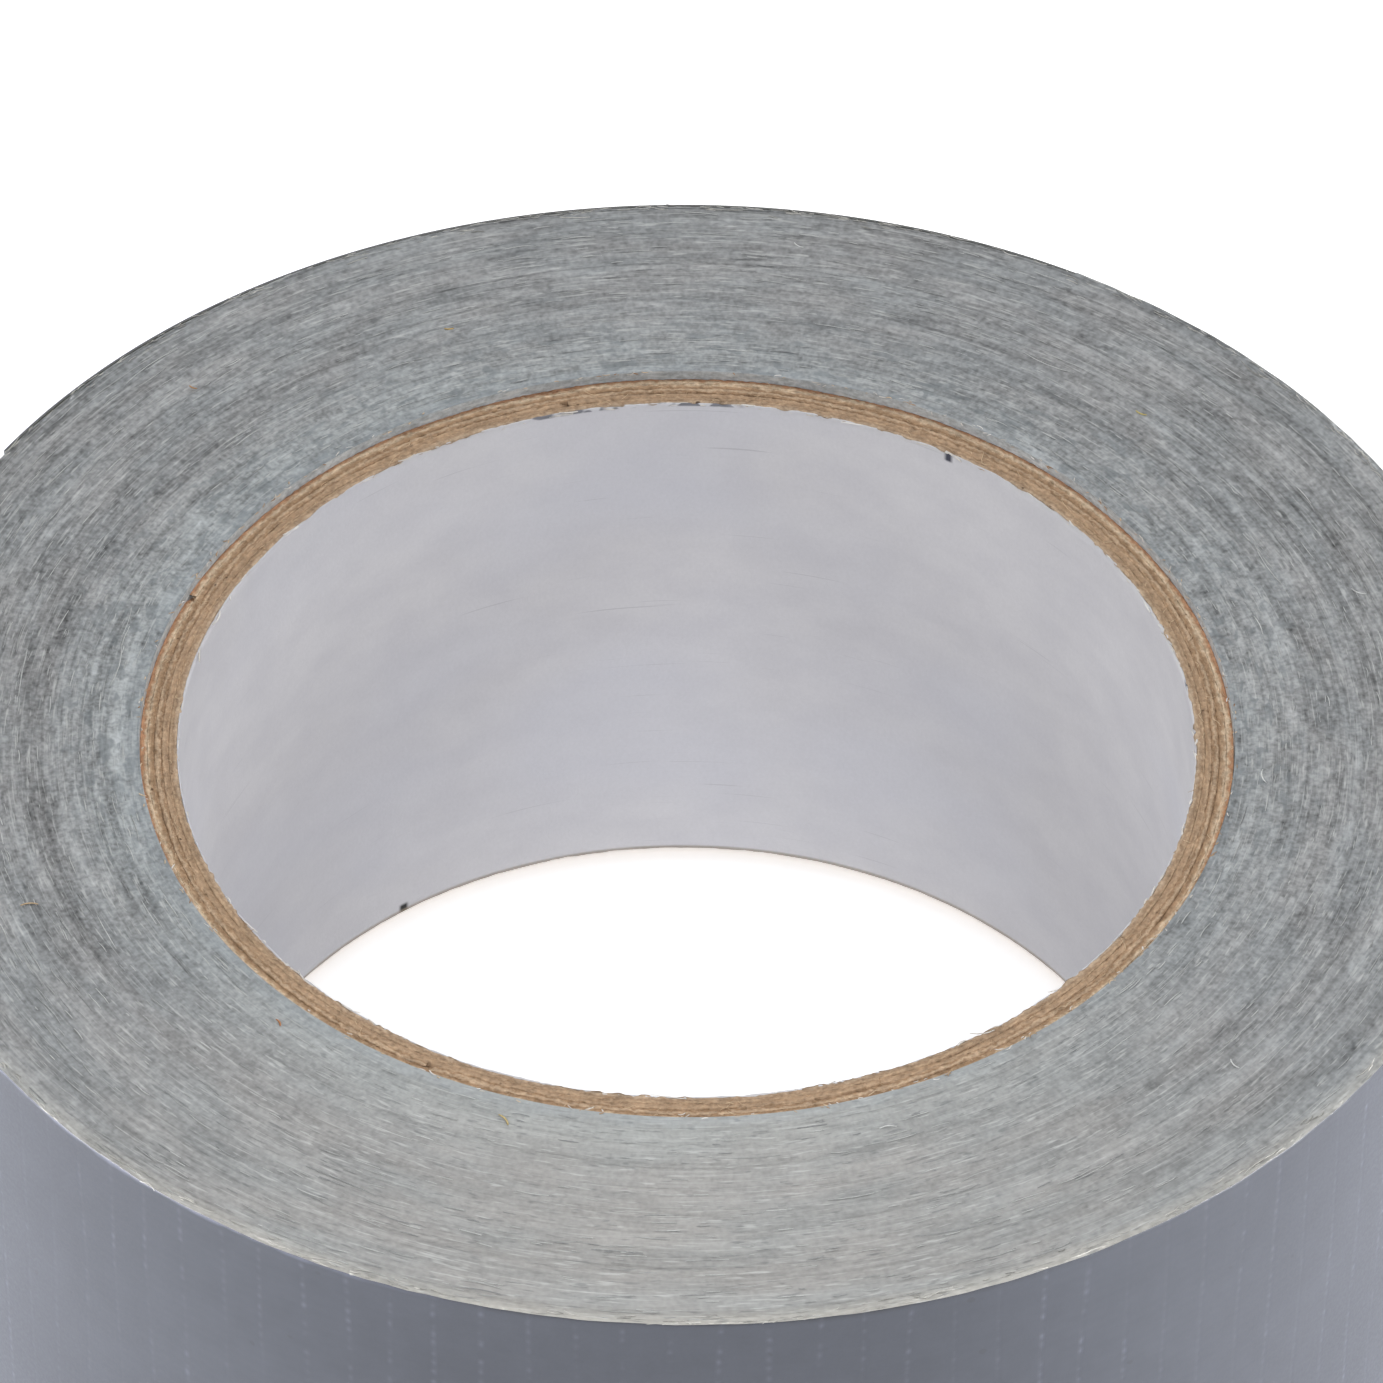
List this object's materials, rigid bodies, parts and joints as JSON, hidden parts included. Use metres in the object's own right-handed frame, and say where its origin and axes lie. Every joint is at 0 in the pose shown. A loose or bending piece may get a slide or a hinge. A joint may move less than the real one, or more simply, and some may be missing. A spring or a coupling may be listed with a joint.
{
  "type": "duct tape roll",
  "caption": "Roll of grey cloth-backed tape wound on a ring-shaped paperboard core, with a free end that peels off the back.",
  "frame": {"origin": "on the roll's axis, at the lower end face of the wound tape", "axes": "+Z along the roll's axis, up from the end face it rests on; the tape's free end is at 150 degrees from +X towards +Y, and it peels away from 60 degrees"},
  "size_m": [0.1227, 0.1228, 0.05],
  "materials": {
    "liner_paper": "matte",
    "kraft_board": "matte",
    "wound_tape": "matte",
    "tape_film": "satin",
    "cotton_scrim": "matte",
    "rubber_adhesive": "satin"
  },
  "bodies": {
    "roll": {"core_liner": "liner_paper", "core_ply_1": "kraft_board", "core_ply_2": "kraft_board", "core_ply_3": "kraft_board", "core_ply_4": "kraft_board", "core_ply_5": "kraft_board", "tape_windings": "wound_tape"},
    "tail_1": {"tail_film_1": "tape_film", "tail_scrim_1": "cotton_scrim", "tail_adhesive_1": "rubber_adhesive"},
    "tail_2": {"tail_film_2": "tape_film", "tail_scrim_2": "cotton_scrim", "tail_adhesive_2": "rubber_adhesive"},
    "tail_3": {"tail_film_3": "tape_film", "tail_scrim_3": "cotton_scrim", "tail_adhesive_3": "rubber_adhesive"},
    "tail_4": {"tail_film_4": "tape_film", "tail_scrim_4": "cotton_scrim", "tail_adhesive_4": "rubber_adhesive"},
    "tail_5": {"tail_film_5": "tape_film", "tail_scrim_5": "cotton_scrim", "tail_adhesive_5": "rubber_adhesive"},
    "tail_6": {"tail_film_6": "tape_film", "tail_scrim_6": "cotton_scrim", "tail_adhesive_6": "rubber_adhesive"}
  },
  "joints": [
    {"name": "tape_peel", "type": "hinge", "parent": "roll", "child": "tail_1", "pos_m": [0.03072, 0.05321, 0.025], "axis": [0, 0, -1], "range_deg": [0, 90]},
    {"name": "tape_bend_2", "type": "hinge", "parent": "tail_1", "child": "tail_2", "pos_m": [0.0159, 0.05936, 0.025], "axis": [0, 0, -1], "range_deg": [0, 15]},
    {"name": "tape_bend_3", "type": "hinge", "parent": "tail_2", "child": "tail_3", "pos_m": [0, 0.06146, 0.025], "axis": [0, 0, -1], "range_deg": [0, 15]},
    {"name": "tape_bend_4", "type": "hinge", "parent": "tail_3", "child": "tail_4", "pos_m": [-0.01591, 0.05937, 0.025], "axis": [0, 0, -1], "range_deg": [0, 15]},
    {"name": "tape_bend_5", "type": "hinge", "parent": "tail_4", "child": "tail_5", "pos_m": [-0.03074, 0.05324, 0.025], "axis": [0, 0, -1], "range_deg": [0, 15]},
    {"name": "tape_bend_6", "type": "hinge", "parent": "tail_5", "child": "tail_6", "pos_m": [-0.04348, 0.04348, 0.025], "axis": [0, 0, -1], "range_deg": [0, 15]}
  ],
  "couplings": [
    {"joint": "tape_bend_2", "follows": "tape_peel", "ratio": 0.16666},
    {"joint": "tape_bend_3", "follows": "tape_peel", "ratio": 0.16666},
    {"joint": "tape_bend_4", "follows": "tape_peel", "ratio": 0.16666},
    {"joint": "tape_bend_5", "follows": "tape_peel", "ratio": 0.16666},
    {"joint": "tape_bend_6", "follows": "tape_peel", "ratio": 0.16666}
  ]
}
